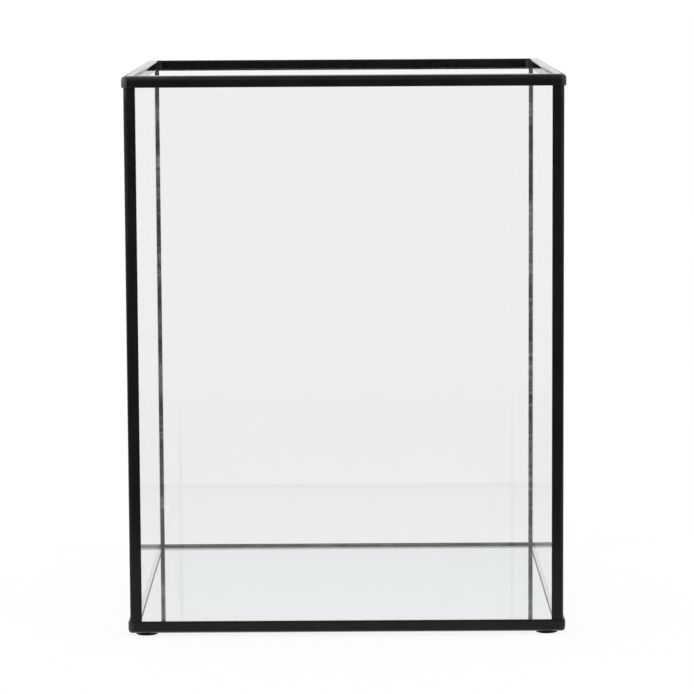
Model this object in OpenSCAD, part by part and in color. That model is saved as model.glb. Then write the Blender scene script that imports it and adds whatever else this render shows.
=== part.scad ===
// Open-topped glass display box: four clear panes in a black sheet-metal frame,
// over a mirror floor, on four rubber feet.
// Millimetres, +Z up. The origin is the middle of the footprint, level with the soles of the feet.
// The front faces -Y, and +X is the right-hand side seen from the front.

/* [Box] */
// Width over the rails, left to right
box_w = 200; // [120:1:400]
// Depth over the rails, front to back
box_d = 200; // [120:1:400]
// Height of the frame, from the underside of the bottom rails to the top of the top rails
frame_h = 254.5; // [80:0.5:500]

/* [Rails] */
// Sheet thickness of the rails
rail_t = 0.9; // [0.8:0.05:1.1]
// Height of a top rail's outer wall
top_rail_face = 5.3; // [5:0.1:12]
// Height of a top rail's inner wall
top_rail_lip = 4.3; // [3:0.1:5]
// Height of a bottom rail's outer wall
bottom_rail_face = 5.7; // [5.5:0.1:12]
// Outer radius of the fold along a top rail
top_fold_r = 2.2; // [1.2:0.1:2.4]
// Outer radius of the fold along a bottom rail
bottom_fold_r = 2.6; // [1.2:0.1:2.8]
// Radius on the free edge of a rail's outer wall
edge_r = 0.7; // [0.3:0.05:0.75]
// Radius ground on the upright corners where two rails meet
corner_r = 2.2; // [1:0.1:2.4]
// Width of the flange that a bottom rail carries the glass on
flange_w = 12; // [11:0.5:20]
// Room left in a top rail's channel on the inner side of the glass
channel_play = 0.1; // [0.05:0.05:0.5]
// Radius of the solder left in the inner corners of the top rails
solder_r = 2; // [0.6:0.1:3]

/* [Corner posts] */
// Sheet thickness of the corner posts
post_t = 0.8; // [0.5:0.05:1.2]
// Width of each leg of a corner post
post_leg = 5.4; // [5:0.1:10]
// Outer radius of the fold along a corner post
post_r = 1.6; // [1.2:0.1:1.7]

/* [Glass] */
// Thickness of the four panes
pane_t = 3.2; // [2:0.1:3.5]
// Gap between a side pane's upright edges and the front and rear panes
pane_gap = 0.2; // [0.1:0.1:1]
// Thickness of the mirror's glass
mirror_t = 3; // [2:0.5:3.5]
// Thickness of the mirror's backing coat
backing_t = 0.1; // [0.05:0.05:0.2]
// Thickness of the silver film between the mirror's glass and its backing coat
silver_t = 0.02; // [0.01:0.01:0.05]
// Gap between the mirror's edges and the panes
mirror_gap = 0.1; // [0.05:0.05:1]

/* [Adhesive] */
// Adhesive between a corner post and the panes
glue_t = 0.35; // [0.1:0.05:0.6]
// Adhesive between a rail and the edge of the glass
bed_t = 0.7; // [0.1:0.05:0.9]
// How far the adhesive stops short of a rail's free edge
bead_recess = 0.3; // [0.1:0.1:1]
// Hairline between cured adhesive and the glass that it wets
wet_gap = 0.02; // [0.01:0.01:0.05]
// Width of the adhesive strips under the mirror
strip_w = 5; // [2:0.5:5.5]
// Gap between the end of one strip and the side of the next
strip_gap = 1; // [0.5:0.5:5]

/* [Feet] */
// Diameter of a foot
foot_d = 10.5; // [6:0.5:14]
// Height of a foot
foot_h = 1.5; // [1:0.1:5]
// Radius round the sole of a foot
foot_r = 0.8; // [0.3:0.1:0.9]
// Distance from the box's outer faces to the middle of a foot
foot_inset = 8.2; // [8:0.1:12]

/* [Hidden] */
// Number of facets that a viewer draws round a curve
$fn = 48;
// Overshoot of cutting shapes
over = 1;

// Sides are numbered counter-clockwise from the front, and corner i lies at the left end of side i.
SIDES = ["front", "right", "rear", "left"];
CORNERS = ["front_left", "front_right", "rear_right", "rear_left"];

// Distances inwards from the box's outer faces
post_in = rail_t + post_t;
pane_out = post_in + glue_t;
pane_in = pane_out + pane_t;
channel_in = pane_in + channel_play;
top_rail_w = channel_in + rail_t;
post_end = rail_t + post_leg;
mirror_out = pane_in + mirror_gap;

// Inner radius of a post's fold. The adhesive has to clear it round the sharp corner of the glass.
post_inner_r = min(post_r - post_t, 2.5 * glue_t);

// Heights above the soles
base_z = foot_h;
top_z = base_z + frame_h;
flange_z = base_z + rail_t;
web_z = top_z - rail_t;
post_bottom = base_z + bottom_fold_r;
post_h = top_z - top_fold_r - post_bottom;
bed_z = flange_z + bed_t;
pane_h = web_z - bed_t - bed_z;
silver_z = bed_z + backing_t;
floor_z = silver_z + silver_t;

frame_colour = [0.09, 0.09, 0.08];
glass_colour = [0.86, 0.92, 0.90, 0.35];
silver_colour = [0.80, 0.81, 0.82];
adhesive_colour = [0.42, 0.43, 0.43];
solder_colour = [0.20, 0.18, 0.17];
rubber_colour = [0.03, 0.03, 0.03];

// Length of side i, and the distance between side i and the one across from it
function side_length(i) = i % 2 == 0 ? box_w : box_d;
function side_depth(i) = i % 2 == 0 ? box_d : box_w;

// ---------- Placing ----------

// Puts a shape made with its outer face on y = 0, inwards being +y, on side i
module on_side(i) rotate(90 * i) translate([0, -side_depth(i) / 2, 0]) children();

// Puts a shape made in the corner of the +x +y quarter, inwards being +x +y, in corner i
module in_corner(i) on_side(i) translate([-side_length(i) / 2, 0, 0]) children();

// Runs a profile along a side. The profile's x is the distance inwards and its y the height.
module run(length) rotate([90, 0, 90]) translate([0, 0, -length / 2]) linear_extrude(length) children();

// ---------- Outlines ----------

// What a radius takes off a square corner at the origin of the +x +y quarter
module round_off(r) difference() {
    translate([-over, -over]) square(r + over);
    translate([r, r]) circle(r);
}

// The same at the top of a face that is h high
module round_off_top(r, h) translate([0, h]) mirror([0, 1]) round_off(r);

// A rectangle from the origin into the +x +y quarter, whose corner at the origin is rounded
module rounded_corner(size, r) difference() {
    square(size);
    round_off(r);
}

// A top rail: an upside-down U, with its outer wall on x = 0
module top_rail_profile() difference() {
    square([top_rail_w, top_rail_face]);
    translate([rail_t, top_rail_face - rail_t]) mirror([0, 1])
        rounded_corner([channel_in - rail_t, top_rail_face], top_fold_r - rail_t);
    translate([rail_t, -over]) square([top_rail_w, top_rail_face - top_rail_lip + over]);
    round_off_top(top_fold_r, top_rail_face);
    translate([top_rail_w, 0]) mirror([1, 0]) round_off_top(rail_t, top_rail_face);
    round_off(edge_r);
}

// A bottom rail: an L, with its outer wall on x = 0 and its flange underneath
module bottom_rail_profile() difference() {
    square([flange_w, bottom_rail_face]);
    translate([rail_t, rail_t]) rounded_corner([flange_w, bottom_rail_face], bottom_fold_r - rail_t);
    round_off(bottom_fold_r);
    round_off_top(edge_r, bottom_rail_face);
}

// Adhesive round the glass's edge, inside a rail with a given wall and fold, with the sheet of it
// that covers the edge on y = 0
module bead_profile(wall_h, fold_r) translate([rail_t, 0]) {
    rounded_corner([pane_out - wet_gap - rail_t, wall_h - rail_t - bead_recess], fold_r - rail_t);
    rounded_corner([pane_in - rail_t, bed_t - wet_gap], fold_r - rail_t);
}

// One side's share of a rail ring from above: mitred at both ends, with the ring's corners ground round
module mitred_plan(length, width) difference() {
    polygon([
        [-length / 2, 0],
        [length / 2, 0],
        [length / 2 - width, width],
        [-length / 2 + width, width]
    ]);
    for (end = [0, 1]) mirror([end, 0]) translate([-length / 2, 0]) round_off(corner_r);
}

// A folded angle of two equal legs from above, with the outer and inner radii of its fold
module angle_plan(leg, thickness, outer_r, inner_r) difference() {
    rounded_corner([leg, leg], outer_r);
    translate([thickness, thickness]) rounded_corner([leg, leg], inner_r);
}

// ---------- Frame ----------

module top_rail(i) color(frame_colour) on_side(i) translate([0, 0, top_z - top_rail_face])
    intersection() {
        run(side_length(i)) top_rail_profile();
        linear_extrude(top_rail_face) mitred_plan(side_length(i), top_rail_w);
    }

module bottom_rail(i) color(frame_colour) on_side(i) translate([0, 0, base_z]) intersection() {
    run(side_length(i)) bottom_rail_profile();
    linear_extrude(bottom_rail_face) mitred_plan(side_length(i), flange_w);
}

// A post is brazed inside the outer walls of the rails, and ends short of their folds
module post(i) color(frame_colour) in_corner(i) translate([rail_t, rail_t, post_bottom])
    linear_extrude(post_h) angle_plan(post_leg, post_t, post_r, post_inner_r);

// Solder run into the corner between the inner walls of two top rails
module solder(i) color(solder_colour) in_corner(i)
    translate([top_rail_w, top_rail_w, top_z - top_rail_lip]) linear_extrude(top_rail_lip - rail_t)
        intersection() {
            circle(solder_r);
            square(solder_r + over);
        }

// ---------- Glass ----------

// The front and rear panes are as wide as the posts allow, and the side panes fit between them
module pane(i) color(glass_colour) on_side(i) {
    inset = i % 2 == 0 ? pane_out : pane_in + pane_gap;
    width = side_length(i) - 2 * inset;
    translate([-width / 2, pane_out, bed_z]) cube([width, pane_t, pane_h]);
}

// A plate that fits inside the panes, with the mirror's gap all round
module floor_plate(z, thickness) {
    size = [box_w - 2 * mirror_out, box_d - 2 * mirror_out, thickness];
    translate([-size.x / 2, -size.y / 2, z]) cube(size);
}

module mirror_glass() color(glass_colour) floor_plate(floor_z, mirror_t);

module mirror_backing() color(silver_colour) floor_plate(bed_z, backing_t);

// ---------- Adhesive ----------

// A strip between a bottom rail's flange and the mirror, stopping short of the strip round the next corner
module mirror_strip(i) color(adhesive_colour) on_side(i) {
    start = mirror_out - side_length(i) / 2;
    end = -start - strip_w - strip_gap;
    translate([start, mirror_out, flange_z]) cube([end - start, strip_w, bed_t]);
}

module post_bead(i) color(adhesive_colour) in_corner(i) translate([post_in, post_in, post_bottom])
    linear_extrude(post_h) angle_plan(post_end - post_in, glue_t - wet_gap, post_inner_r, 0);

// The beads along the rails run from post to post
module bottom_bead(i) color(adhesive_colour) on_side(i) translate([0, 0, flange_z])
    run(side_length(i) - 2 * post_end) bead_profile(bottom_rail_face, bottom_fold_r);

module top_bead(i) color(adhesive_colour) on_side(i) translate([0, 0, web_z]) mirror([0, 0, 1])
    run(side_length(i) - 2 * post_end) bead_profile(top_rail_face, top_fold_r);

// ---------- Feet ----------

// A self-adhesive bumper under the mitre of two bottom flanges
module foot(i) color(rubber_colour) in_corner(i) translate([foot_inset, foot_inset, 0])
    rotate_extrude() intersection() {
        square([foot_d / 2, foot_h]);
        translate([foot_d / 2, 0]) mirror([1, 0]) difference() {
            square([foot_d, foot_h]);
            round_off(foot_r);
        }
    }

// ---------- Nodes ----------

for (i = [0 : 3]) {
    pane(i);
    top_rail(i);
    bottom_rail(i);
    top_bead(i);
    bottom_bead(i);
    mirror_strip(i);
    post(i);
    post_bead(i);
    solder(i);
    foot(i);
}
mirror_glass();
mirror_backing();
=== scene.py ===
"""Looks of the framed glass display box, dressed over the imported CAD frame.

Everything is in metres. The front faces -Y, and the soles of the feet stand on z = 0.
"""

import math

import bpy
from mathutils import Matrix, Vector


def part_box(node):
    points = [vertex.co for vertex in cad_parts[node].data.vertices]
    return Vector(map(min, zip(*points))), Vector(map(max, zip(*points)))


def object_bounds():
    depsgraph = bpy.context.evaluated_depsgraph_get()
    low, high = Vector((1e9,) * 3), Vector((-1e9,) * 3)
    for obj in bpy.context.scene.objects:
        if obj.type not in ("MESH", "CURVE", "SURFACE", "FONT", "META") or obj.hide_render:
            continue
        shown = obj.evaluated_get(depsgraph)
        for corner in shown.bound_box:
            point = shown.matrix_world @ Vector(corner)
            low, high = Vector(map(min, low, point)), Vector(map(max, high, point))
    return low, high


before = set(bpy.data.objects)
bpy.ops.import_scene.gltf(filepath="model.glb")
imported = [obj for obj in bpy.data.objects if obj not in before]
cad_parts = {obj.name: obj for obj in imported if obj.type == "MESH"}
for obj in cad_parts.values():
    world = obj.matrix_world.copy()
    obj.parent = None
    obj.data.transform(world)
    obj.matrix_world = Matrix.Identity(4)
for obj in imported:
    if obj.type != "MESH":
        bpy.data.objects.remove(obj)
cad_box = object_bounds()
MM = 0.001

# ---------- Camera ----------

CAMERA_PLACE = Vector((0.8, -1597.9, 315.8)) * MM
CAMERA_PITCH = math.radians(6.95)  # looking down
CAMERA_ROLL = math.radians(-0.325)  # the right-hand side of the camera is low
CAMERA_LENS = 173.0  # mm, on a sensor 36 mm wide


def make_camera():
    data = bpy.data.cameras.new("camera")
    data.lens = CAMERA_LENS
    data.sensor_width = 36.0
    data.clip_start, data.clip_end = 0.05, 100.0
    camera = bpy.data.objects.new("camera", data)
    ahead = Vector((0, math.cos(CAMERA_PITCH), -math.sin(CAMERA_PITCH)))
    level = Vector((1, 0, 0))
    above = level.cross(ahead)
    right = math.cos(CAMERA_ROLL) * level + math.sin(CAMERA_ROLL) * above
    up = right.cross(ahead)
    camera.matrix_world = Matrix.Translation(CAMERA_PLACE) @ (
        Matrix((right, up, -ahead)).transposed().to_4x4()
    )
    bpy.context.scene.collection.objects.link(camera)
    bpy.context.scene.camera = camera


# ---------- Shader nodes ----------


class Shader:
    """A material's or the world's node tree, with short ways to add and join nodes."""

    def __init__(self, holder):
        holder.use_nodes = True
        self.tree = holder.node_tree
        self.tree.nodes.clear()

    def add(self, kind, settings=None, **inputs):
        """Adds a node. An input is a value or another node's output, named with _ for a space."""
        node = self.tree.nodes.new("ShaderNode" + kind)
        for name, value in (settings or {}).items():
            setattr(node, name, value)
        for name, value in inputs.items():
            self.put(node, name.replace("_", " "), value)
        return node

    def put(self, node, name, value):
        """Sets an input, found by its name, or by its number after an i where names repeat."""
        numbered = name[0] == "i" and name[1:].isdigit()
        socket = node.inputs[int(name[1:]) if numbered else name]
        if isinstance(value, bpy.types.NodeSocket):
            self.tree.links.new(value, socket)
        else:
            socket.default_value = value

    def maths(self, operation, *values):
        """One operation of the Math node."""
        node = self.add("Math", {"operation": operation})
        for i, value in enumerate(values):
            self.put(node, f"i{i}", value)
        return node.outputs[0]

    def place(self):
        """The point that is being shaded, in the part's own coordinates, which are the CAD's."""
        return self.add("TexCoord").outputs["Object"]

    def along(self, axis, vector):
        """One component of a vector."""
        return self.add("SeparateXYZ", Vector=vector).outputs[axis]

    def noise(self, scale, detail=3.0, roughness=0.5, offset=(0, 0, 0)):
        """Noise over the part's own coordinates, scale being the number of its waves per metre."""
        place = self.place()
        if offset != (0, 0, 0):
            place = self.add("Mapping", Vector=place, Location=offset).outputs[0]
        node = self.add("TexNoise", Vector=place, Scale=scale, Detail=detail, Roughness=roughness)
        return node.outputs["Fac"]

    def ramp(self, fac, *stops):
        """A colour ramp through (position, colour) stops."""
        node = self.add("ValToRGB", Fac=fac)
        elements = node.color_ramp.elements
        while len(elements) < len(stops):
            elements.new(0.5)
        for element, (position, colour) in zip(elements, stops):
            element.position = position
            element.color = (*colour, 1.0)
        return node.outputs["Color"]

    def spread(self, fac, low, high, from_low=0.3, from_high=0.7):
        """Maps a value from one range to another and stops at its ends. The first range is left
        out for noise, whose values lie mostly from 0.3 to 0.7."""
        node = self.add("MapRange", Value=fac)
        for name, value in (
            ("From Min", from_low),
            ("From Max", from_high),
            ("To Min", low),
            ("To Max", high),
        ):
            self.put(node, name, value)
        return node.outputs[0]

    def mix_colour(self, share, first, second):
        """Mixes two colours, share being how much of the second shows."""
        node = self.add("Mix", {"data_type": "RGBA"}, Factor=share)
        for name, colour in (("A", first), ("B", second)):
            socket = next(i for i in node.inputs if i.name == name and i.type == "RGBA")
            if isinstance(colour, bpy.types.NodeSocket):
                self.tree.links.new(colour, socket)
            else:
                socket.default_value = (*colour, 1.0)
        return next(o for o in node.outputs if o.type == "RGBA")

    def bump(self, height, distance):
        """Relief of a given depth in metres."""
        return self.add("Bump", Height=height, Distance=distance, Strength=1.0).outputs[0]

    def mix(self, share, first, second):
        """Mixes two surfaces, share being how much of the second shows."""
        return self.add("MixShader", Fac=share, i1=first, i2=second).outputs[0]

    def finish(self, surface, kind="OutputMaterial"):
        self.add(kind, Surface=surface)


def grey(value):
    """A colour without hue."""
    return (value, value, value)


def on_edge(s, thickness_axis):
    """1 on the edges of a sheet whose thickness runs along the axis, and 0 on its two faces."""
    normal = s.along(thickness_axis, s.add("TexCoord").outputs["Normal"])
    return s.maths("LESS_THAN", s.maths("ABSOLUTE", normal), 0.5)


# ---------- Materials ----------

GLASS_IOR = 1.52
LAMP_SHARE = 0.96  # what a face of glass lets through of a lamp's light
WEAR_AND_SHEEN_LENGTHS = (3 * MM, 3 * MM, 12 * MM)  # how far the rubbed paint and its painted sheen reach from a corner, by axis
WEAR_AND_SHEEN_ON_RIGHT, WEAR_AND_SHEEN_AT_BOTTOM = 0.35, 0.4  # shares of the rubbed paint and painted sheen on the right and at the bottom; the left and the top get all of both
FLUX_REACH = 50 * MM  # the flux grows from none to all over this far on both sides of the middle


def wear_and_painted_sheen(s):
    """How far the paint is rubbed to a lighter grey close to the frame's corners. It is partly wear and
    partly a painted sheen, which makes it most at the top and left, where the light comes from.
    """
    place = s.add("SeparateXYZ", Vector=s.place()).outputs
    low, high = cad_box
    wear_and_sheen = s.spread(s.noise(500, detail=4), 0.6, 1.0)
    for axis, start, end, length in zip("XYZ", low, high, WEAR_AND_SHEEN_LENGTHS):
        middle, reach = (start + end) / 2, (end - start) / 2
        away = s.maths("ABSOLUTE", s.maths("SUBTRACT", place[axis], middle))
        wear_and_sheen = s.maths("MULTIPLY", wear_and_sheen, s.spread(away, 0.0, 1.0, reach - length, reach))
    # painted sheen: the lighter grey grows toward the left and the top, where the light falls
    sheen_and_wear_leftwards = s.spread(place["X"], WEAR_AND_SHEEN_ON_RIGHT, 1.0, high.x, low.x)
    sheen_and_wear_upwards = s.spread(place["Z"], WEAR_AND_SHEEN_AT_BOTTOM, 1.0, low.z, high.z)
    return s.maths("MULTIPLY", s.maths("MULTIPLY", wear_and_sheen, sheen_and_wear_leftwards), sheen_and_wear_upwards)


def black_paint():
    """Satin black paint over sheet metal, with a faint orange peel and a drift in its gloss. Near the
    corners it is rubbed to a lighter grey, and a painted sheen makes that grey strongest at the top and
    left.
    """
    material = bpy.data.materials.new("black_paint")
    s = Shader(material)
    drift = s.noise(60, detail=4)
    peel = s.noise(1400, detail=2)
    colour = s.ramp(drift, (0.3, (0.0052, 0.0052, 0.0042)), (0.7, (0.0085, 0.0084, 0.0070)))
    wear_and_sheen = wear_and_painted_sheen(s)
    gloss = s.spread(s.noise(140, detail=4, offset=(3, 1, 2)), 0.07, 0.12)
    paint = s.add(
        "BsdfPrincipled",
        # the corners' lighter grey: partly rubbed paint, partly painted sheen
        Base_Color=s.mix_colour(wear_and_sheen, colour, (0.30, 0.30, 0.29)),
        Roughness=s.maths("ADD", gloss, s.maths("MULTIPLY", wear_and_sheen, 0.3)),
        Specular_IOR_Level=0.18,
        Normal=s.bump(peel, 0.003 * MM),
    )
    s.finish(paint.outputs[0])
    return material


def float_glass(s, tint, both_faces):
    """Float glass. A ray that has entered leaves without reflecting inside, so where both_faces is
    true the first face reflects what the two faces of a sheet do together. Rays from lamps pass
    straight through, so that the glass throws no solid shadow."""
    colour = (*(math.sqrt(t) for t in tint), 1.0)
    bent = s.add("BsdfRefraction", Color=colour, Roughness=0.0, IOR=GLASS_IOR)
    shine = s.add("BsdfAnisotropic", Color=(1.0, 1.0, 1.0, 1.0), Roughness=0.0)
    share = s.add("Fresnel", IOR=GLASS_IOR).outputs[0]
    if both_faces:
        share = s.maths("DIVIDE", s.maths("MULTIPLY", share, 2.0), s.maths("ADD", share, 1.0))
    outside = s.maths("SUBTRACT", 1.0, s.add("NewGeometry").outputs["Backfacing"])
    share = s.maths("MULTIPLY", share, outside)
    glass = s.mix(share, bent.outputs[0], shine.outputs[0])
    passing = s.add("BsdfTransparent", Color=(*(math.sqrt(t) * LAMP_SHARE for t in tint), 1.0))
    return s.mix(s.add("LightPath").outputs["Is Shadow Ray"], glass, passing.outputs[0])


def ground_edge(s):
    """The ground edge of a sheet of glass: matt and whitish, with shade painted in as a greyer colour
    where it is seen from inside the glass, and like a mirror at a grazing angle."""
    grain = s.noise(1800, detail=3)
    painted_shade_inside = s.add("NewGeometry").outputs["Backfacing"]
    whitish = s.ramp(grain, (0.3, (0.80, 0.80, 0.76)), (0.7, (0.93, 0.93, 0.90)))
    matt = s.add(
        "BsdfPrincipled",
        # painted shade: the edge's colour is greyer where a ray reaches it from inside the glass
        Base_Color=s.mix_colour(painted_shade_inside, whitish, (0.24, 0.25, 0.24)),
        Roughness=0.45,
        Normal=s.bump(grain, 0.02 * MM),
    )
    shine = s.add("BsdfAnisotropic", Color=(0.93, 0.92, 0.89, 1.0), Roughness=0.05)
    grazing = s.spread(s.add("LayerWeight", Blend=0.5).outputs["Facing"], 0.0, 1.0, 0.7, 0.95)
    return s.mix(grazing, matt.outputs[0], shine.outputs[0])


def pane_glass(name, thickness_axis):
    """A clear pane, polished on the two faces across its thickness and ground on its edges."""
    material = bpy.data.materials.new(name)
    s = Shader(material)
    faces = float_glass(s, (0.985, 0.996, 0.991), both_faces=True)
    s.finish(s.mix(on_edge(s, thickness_axis), faces, ground_edge(s)))
    return material


def mirror_glass():
    """A mirror's glass: clear, with a silver film on its underside and ground edges."""
    material = bpy.data.materials.new("mirror_glass")
    s = Shader(material)
    silver = s.add(
        "BsdfPrincipled", Base_Color=(0.795, 0.790, 0.812, 1.0), Metallic=1.0, Roughness=0.0
    )
    low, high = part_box("mirror_glass")
    silvered_below = low.z + 0.02 * (high.z - low.z)
    underside = s.maths("LESS_THAN", s.along("Z", s.place()), silvered_below)
    glass = float_glass(s, (0.972, 0.982, 0.980), both_faces=False)
    body = s.mix(underside, glass, silver.outputs[0])
    s.finish(s.mix(on_edge(s, "Z"), body, ground_edge(s)))
    return material


def mirror_backing():
    """The grey protective coat on the back of the mirror."""
    material = bpy.data.materials.new("mirror_backing")
    s = Shader(material)
    mottle = s.noise(220, detail=5)
    coat = s.add(
        "BsdfPrincipled",
        Base_Color=s.ramp(mottle, (0.3, (0.19, 0.20, 0.20)), (0.7, (0.26, 0.27, 0.27))),
        Roughness=s.spread(mottle, 0.5, 0.65),
        Normal=s.bump(s.noise(2500), 0.01 * MM),
    )
    s.finish(coat.outputs[0])
    return material


def adhesive(name, *shades):
    """Cured adhesive seen through the glass. It goes through three shades in blotches, large and small,
    and has small trapped bubbles, whose glint is painted in as lighter grey specks."""
    material = bpy.data.materials.new(name)
    s = Shader(material)
    large, small = s.noise(70, detail=2), s.noise(500, detail=4, roughness=0.65)
    blotch = s.add("Mix", Factor=0.5, A=large, B=small).outputs[0]
    bubbles = s.add("TexVoronoi", Vector=s.place(), Scale=900.0).outputs["Distance"]
    base = s.ramp(blotch, *zip((0.40, 0.50, 0.64), shades))
    painted_bubble_glint = s.spread(bubbles, 1.0, 0.0, 0.10, 0.22)
    glue = s.add(
        "BsdfPrincipled",
        # painted glint: the bubbles show as specks of a lighter grey in the colour
        Base_Color=s.mix_colour(s.maths("MULTIPLY", painted_bubble_glint, 0.4), base, (0.30, 0.30, 0.29)),
        Roughness=s.spread(blotch, 0.35, 0.6),
        Normal=s.bump(blotch, 0.05 * MM),
    )
    s.finish(glue.outputs[0])
    return material


def solder():
    """Solder under thin paint, with the brown of its flux showing in the two corners on the right."""
    material = bpy.data.materials.new("solder")
    s = Shader(material)
    patch = s.noise(700, detail=5)
    on_right = s.spread(s.along("X", s.place()), 0.0, 1.0, -FLUX_REACH, FLUX_REACH)
    flux = s.ramp(patch, (0.35, (0.018, 0.015, 0.013)), (0.65, (0.055, 0.042, 0.034)))
    metal = s.add(
        "BsdfPrincipled",
        Base_Color=s.mix_colour(on_right, (0.010, 0.009, 0.008), flux),
        Metallic=0.3,
        Roughness=s.spread(patch, 0.35, 0.55),
        Normal=s.bump(patch, 0.05 * MM),
    )
    s.finish(metal.outputs[0])
    return material


def rubber():
    """Matt black rubber, with a fine moulded grain."""
    material = bpy.data.materials.new("rubber")
    s = Shader(material)
    grain = s.noise(3000, detail=2)
    moulded = s.add(
        "BsdfPrincipled",
        Base_Color=s.ramp(s.noise(300, detail=4), (0.3, grey(0.004)), (0.7, grey(0.009))),
        Roughness=s.spread(grain, 0.6, 0.8),
        Specular_IOR_Level=0.2,
        Normal=s.bump(grain, 0.01 * MM),
    )
    s.finish(moulded.outputs[0])
    return material


MATERIALS = {
    "black_frame": black_paint(),
    "clear_glass": {"X": pane_glass("clear_glass_x", "X"), "Y": pane_glass("clear_glass_y", "Y")},
    "mirror_glass": mirror_glass(),
    "mirror_silver": mirror_backing(),
    "adhesive": {
        "rail": adhesive(
            "rail_adhesive", (0.055, 0.050, 0.042), (0.105, 0.102, 0.094), (0.24, 0.24, 0.235)
        ),
        "post": adhesive(
            "post_adhesive", (0.056, 0.046, 0.033), (0.145, 0.142, 0.128), (0.60, 0.64, 0.67)
        ),
    },
    "solder": solder(),
    "foot_rubber": rubber(),
}

# Widths that the edges are eased to, and the least angle between faces that counts as an edge
EASED = {"black_frame": 0.12 * MM, "clear_glass": 0.25 * MM, "mirror_glass": 0.1 * MM}
SHARP = math.radians(40)


def dress(node):
    """Gives a CAD node its finish, and eases its edges."""
    slot = node.material_slots[0]
    kind = slot.material.name
    finish = MATERIALS[kind]
    if kind == "clear_glass":
        finish = finish["X" if node.dimensions.x < node.dimensions.y else "Y"]
    if kind == "adhesive":
        finish = finish["post" if "post" in node.name else "rail"]
    slot.link = "OBJECT"
    slot.material = finish
    if kind in EASED:
        weld = node.modifiers.new("weld", "WELD")
        weld.merge_threshold = 0.001 * MM
        bevel = node.modifiers.new("bevel", "BEVEL")
        bevel.width = EASED[kind]
        bevel.segments = 2
        bevel.limit_method = "ANGLE"
        bevel.angle_limit = SHARP
        bevel.harden_normals = True


# ---------- Stage ----------

FLOOR_REACH = 40.0  # half of the floor's width
FLOOR_LEVEL = -0.02 * MM  # just under the soles, so that the two faces don't mix
SQUARE = ((-1, -1), (1, -1), (1, 1), (-1, 1))
ROOM_DARKNESS = 0.85  # how much darker than white the room in front of the part is
PAINTED_SHADE_CLOSE = (0.985, 0.983, 0.990)  # the floor close to the part, a touch darker: painted shade that fades to white further out
PAINTED_SHADE_THROUGH_GLASS = (0.911, 0.907, 0.920)  # painted shade: the floor close to the part, darker where it is seen through the part's glass
SHADOW_SHARE = 0.10  # how much of the lamps' light and shadow the floor shows close to the part
# Upward parts of a direction: where the dark of the wall ends, and where the ceiling's begins
WALL, CEILING = (0.05, 0.25), (0.35, 0.5)
# Distances from the middle of the part over which the floor changes
DARKENS, PAINTED_SHADE_FADES, SHADE_CLEARS, LOSES_SHADOW = (0.11, 0.5), (0.2, 1.6), (0.3, 0.8), (0.25, 1.6)


def room_darkness(s, towards_rear):
    """How dark reflections show the room, by the Y component of their direction: white behind the
    part, and dark in front of it."""
    return s.spread(towards_rear, ROOM_DARKNESS, 0.0, -0.7, -0.1)


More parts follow.
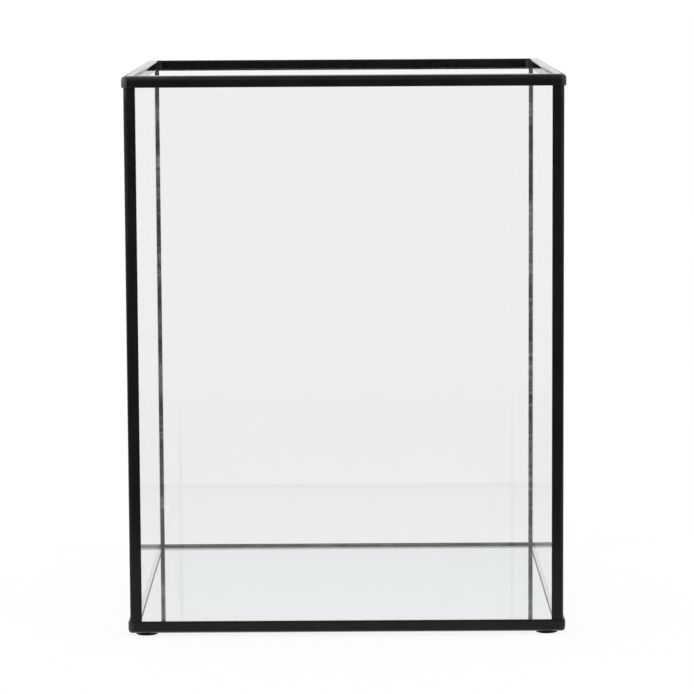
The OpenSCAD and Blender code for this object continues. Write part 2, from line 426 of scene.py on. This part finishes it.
def make_floor():
    """A white floor that keeps the part's shadow. Painted shade makes it a touch darker close to the
    part, and darker still where it is seen there through the part's glass.
    """
    corners = [(x * FLOOR_REACH, y * FLOOR_REACH, FLOOR_LEVEL) for x, y in SQUARE]
    mesh = bpy.data.meshes.new("floor")
    mesh.from_pydata(corners, [], [(0, 1, 2, 3)])
    floor = bpy.data.objects.new("floor", mesh)
    bpy.context.scene.collection.objects.link(floor)
    material = bpy.data.materials.new("floor")
    s = Shader(material)
    place = s.place()
    distance = s.add("VectorMath", {"operation": "LENGTH"}, i0=place).outputs["Value"]
    paths = s.add("LightPath").outputs
    seen = s.maths("MAXIMUM", paths["Is Camera Ray"], paths["Is Glossy Ray"])
    seen = s.maths("MAXIMUM", seen, paths["Is Transmission Ray"])
    mirrored = s.maths("GREATER_THAN", paths["Glossy Depth"], 0.5)
    far = s.maths("MULTIPLY", mirrored, s.spread(distance, 0.0, 1.0, *DARKENS))
    towards_rear = s.maths("DIVIDE", s.along("Y", place), distance)
    darkness = s.maths("MULTIPLY", far, room_darkness(s, towards_rear))
    # painted shade: the floor's colour is a touch darker close to the part
    white = s.mix_colour(s.spread(distance, 0.0, 1.0, *PAINTED_SHADE_FADES), PAINTED_SHADE_CLOSE, grey(1.0))
    # painted shade: seen through glass, the floor close to the part darkens further
    shade_close = s.spread(distance, 1.0, 0.0, *SHADE_CLEARS)
    painted_shade_through_glass_share = s.maths("MULTIPLY", paths["Is Transmission Ray"], shade_close)
    white = s.mix_colour(painted_shade_through_glass_share, white, PAINTED_SHADE_THROUGH_GLASS)
    colour = s.mix_colour(darkness, white, grey(0.0))
    lit = s.add("BsdfDiffuse", Color=colour)
    glow = s.add("Emission", Color=colour)
    glowing = s.spread(distance, 1.0 - SHADOW_SHARE, 1.0, *LOSES_SHADOW)
    s.finish(s.mix(s.maths("MULTIPLY", seen, glowing), lit.outputs[0], glow.outputs[0]))
    mesh.materials.append(material)


def make_world():
    """White to the camera and through glass. To all other rays, it is dark low down in front, and
    to reflections it is dark overhead in front as well."""
    world = bpy.data.worlds.new("world")
    bpy.context.scene.world = world
    s = Shader(world)
    paths = s.add("LightPath").outputs
    seen = s.maths("MAXIMUM", paths["Is Camera Ray"], paths["Is Transmission Ray"])
    seen = s.maths("MULTIPLY", seen, s.maths("LESS_THAN", paths["Glossy Depth"], 0.5))
    direction = s.add("TexCoord").outputs["Generated"]
    height = s.along("Z", direction)
    low_down = s.spread(height, 1.0, 0.0, *WALL)
    mirrored = s.maths("GREATER_THAN", paths["Glossy Depth"], 0.5)
    overhead = s.maths("MULTIPLY", mirrored, s.spread(height, 0.0, 1.0, *CEILING))
    dark_part = s.maths("MAXIMUM", low_down, overhead)
    darkness = s.maths("MULTIPLY", dark_part, room_darkness(s, s.along("Y", direction)))
    darkness = s.maths("MULTIPLY", darkness, s.maths("SUBTRACT", 1.0, seen))
    strength = s.maths("SUBTRACT", 1.0, darkness)
    white = s.add("Background", Color=(*grey(1.0), 1.0), Strength=strength)
    s.finish(white.outputs[0], "OutputWorld")


def make_light(name, place, size, power):
    """A square softbox that faces the middle of the part. Its size is in metres, its power in watts."""
    data = bpy.data.lights.new(name, "AREA")
    data.size = size
    data.energy = power
    light = bpy.data.objects.new(name, data)
    light.location = Vector(place)
    middle = (cad_box[0] + cad_box[1]) / 2
    light.rotation_euler = (middle - light.location).to_track_quat("-Z", "Y").to_euler()
    bpy.context.scene.collection.objects.link(light)


make_camera()
for cad_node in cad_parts.values():
    dress(cad_node)
make_floor()
make_world()
make_light("key", (-1.4, -0.6, 1.9), size=1.2, power=11.0)
make_light("fill", (1.6, -0.4, 1.7), size=1.4, power=7.0)

bpy.context.scene.view_settings.view_transform = "Standard"
